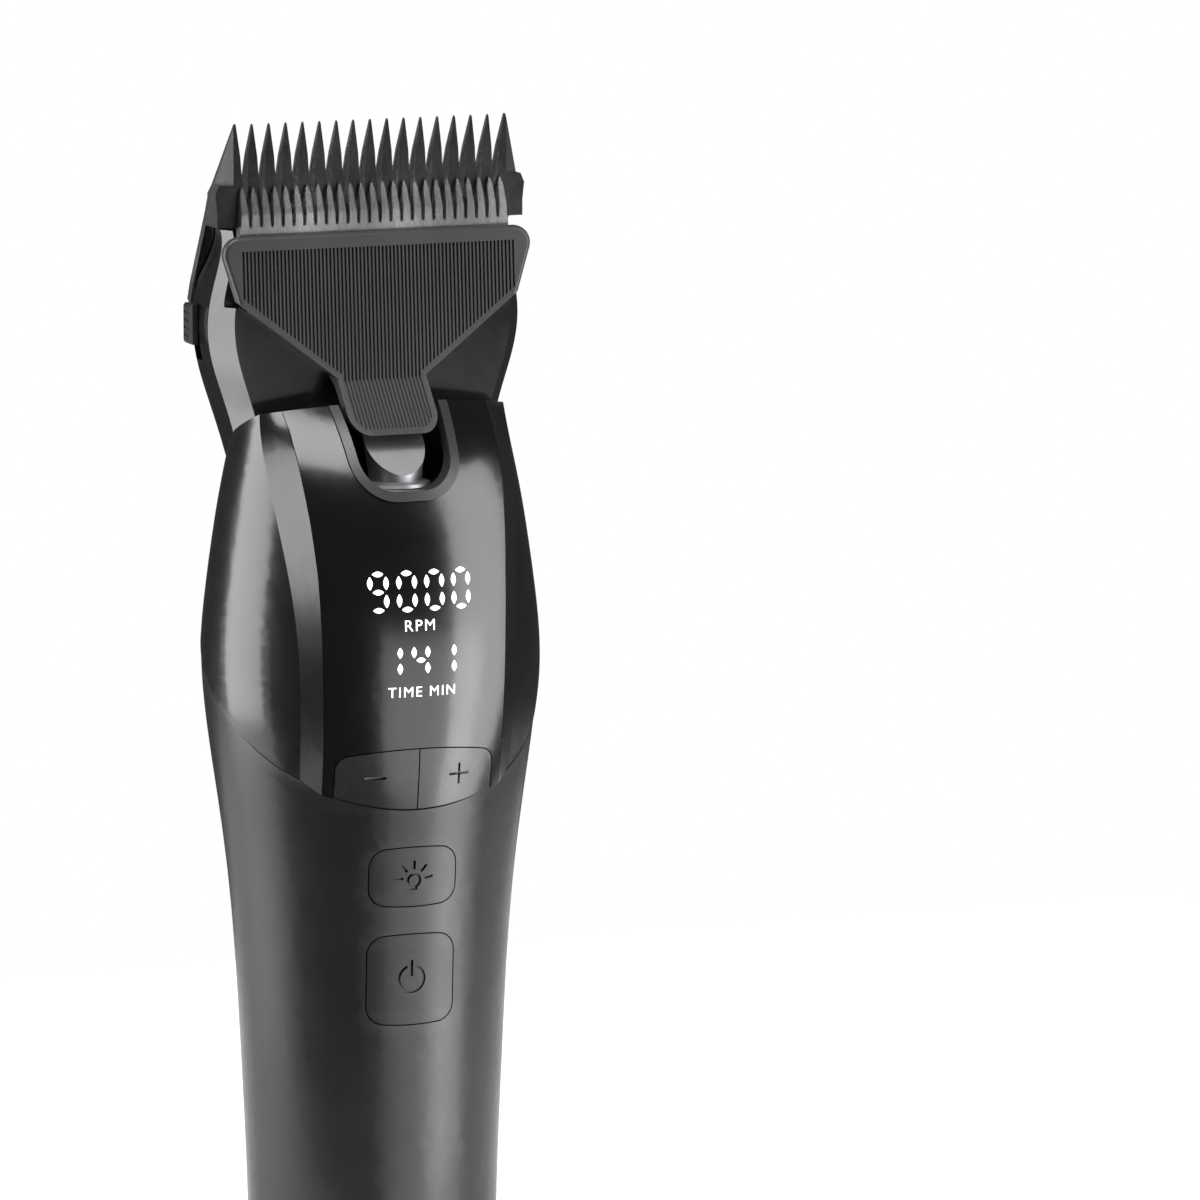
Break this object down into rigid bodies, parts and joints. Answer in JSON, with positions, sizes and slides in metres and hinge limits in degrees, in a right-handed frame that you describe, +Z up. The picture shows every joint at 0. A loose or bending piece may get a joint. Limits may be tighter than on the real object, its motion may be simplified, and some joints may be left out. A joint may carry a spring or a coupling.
{
  "type": "cordless hair clipper",
  "caption": "Cordless hair clipper: oval satin grip, gloss housing with display window and keys, detachable wide blade head with a ribbed cover and long comb teeth.",
  "frame": {"origin": "centre of the flat foot of the end cap", "axes": "+Z up the handle to the blade tips, -Y the front with the display and the buttons, +X the right-hand side seen from the front"},
  "size_m": [0.0543, 0.0458, 0.1861],
  "materials": {
    "satin_grip": "satin",
    "gloss_housing": "gloss",
    "display_window": "gloss",
    "satin_trim": "satin",
    "black_plastic": "matte",
    "ribbed_cover": "satin",
    "blade_steel": "ground",
    "bright_steel": "polished",
    "dark_steel": "blackened",
    "brass": "plain",
    "circuit_board": "solder mask",
    "battery_wrap": "shrink wrap",
    "soft_seal": "matte",
    "white_plastic": "matte"
  },
  "bodies": {
    "handle": {"handle_front_shell": "satin_grip", "handle_rear_shell": "satin_grip", "end_cap": "satin_grip", "charging_socket": "bright_steel", "charging_board": "circuit_board", "battery_cell": "battery_wrap", "battery_cradle": "black_plastic", "battery_contacts": "bright_steel", "main_board": "circuit_board", "button_switches": "black_plastic", "display_module": "white_plastic", "housing_front": "gloss_housing", "housing_rear": "gloss_housing", "display_window": "display_window", "recess_rim": "satin_trim", "recess_tray": "black_plastic", "motor_can": "bright_steel", "motor_end_bearing": "brass", "motor_mount": "black_plastic", "motor_screws": "bright_steel", "shaft_seal": "soft_seal", "latch_spring": "bright_steel"},
    "rotor": {"motor_shaft": "bright_steel", "eccentric_cam": "brass", "drive_pin": "bright_steel"},
    "minus_key": {"minus_key": "gloss_housing"},
    "plus_key": {"plus_key": "gloss_housing"},
    "light_button": {"light_button": "satin_grip"},
    "power_button": {"power_button": "satin_grip"},
    "latch": {"release_latch": "bright_steel"},
    "blade_head": {"head_hood": "gloss_housing", "ribbed_cover": "ribbed_cover", "comb_carrier": "black_plastic", "carrier_screws": "bright_steel"},
    "comb": {"comb_blade": "dark_steel"},
    "length_slider": {"length_knob": "black_plastic", "length_cam": "white_plastic"},
    "cutter": {"cutter_blade": "blade_steel", "cutter_follower": "white_plastic", "tension_spring": "bright_steel", "cutter_screws": "bright_steel"}
  },
  "joints": [
    {"name": "motor_spin", "type": "hinge", "parent": "handle", "child": "rotor", "pos_m": [0, 0.004, 0.1226], "axis": [0, 0, 1], "continuous": true},
    {"name": "minus_press", "type": "slide", "parent": "handle", "child": "minus_key", "axis": [0, 1, 0], "range_m": [0, 0.00035], "stiffness_N_per_m": 600, "springref_m": -0.0004},
    {"name": "plus_press", "type": "slide", "parent": "handle", "child": "plus_key", "axis": [0, 1, 0], "range_m": [0, 0.00035], "stiffness_N_per_m": 600, "springref_m": -0.0004},
    {"name": "light_press", "type": "slide", "parent": "handle", "child": "light_button", "axis": [0, 1, 0], "range_m": [0, 0.0005], "stiffness_N_per_m": 600, "springref_m": -0.0004},
    {"name": "power_press", "type": "slide", "parent": "handle", "child": "power_button", "axis": [0, 1, 0], "range_m": [0, 0.0005], "stiffness_N_per_m": 600, "springref_m": -0.0004},
    {"name": "latch_press", "type": "slide", "parent": "handle", "child": "latch", "axis": [0, 1, 0], "range_m": [0, 0.0015], "stiffness_N_per_m": 800, "springref_m": -0.0008, "deforming": ["latch_spring"]},
    {"name": "head_lift_off", "type": "slide", "parent": "handle", "child": "blade_head", "axis": [0, 0, 1], "range_m": [0, 0.03]},
    {"name": "comb_length", "type": "slide", "parent": "blade_head", "child": "comb", "axis": [0, 0, 1], "range_m": [0, 0.0012]},
    {"name": "length_slide", "type": "slide", "parent": "blade_head", "child": "length_slider", "axis": [0, 0, -1], "range_m": [0, 0.004]},
    {"name": "cutter_stroke", "type": "slide", "parent": "blade_head", "child": "cutter", "axis": [1, 0, 0], "range_m": [-0.0012, 0.0012]}
  ],
  "couplings": [
    {"joint": "comb_length", "follows": "length_slide", "ratio": 0.3}
  ]
}
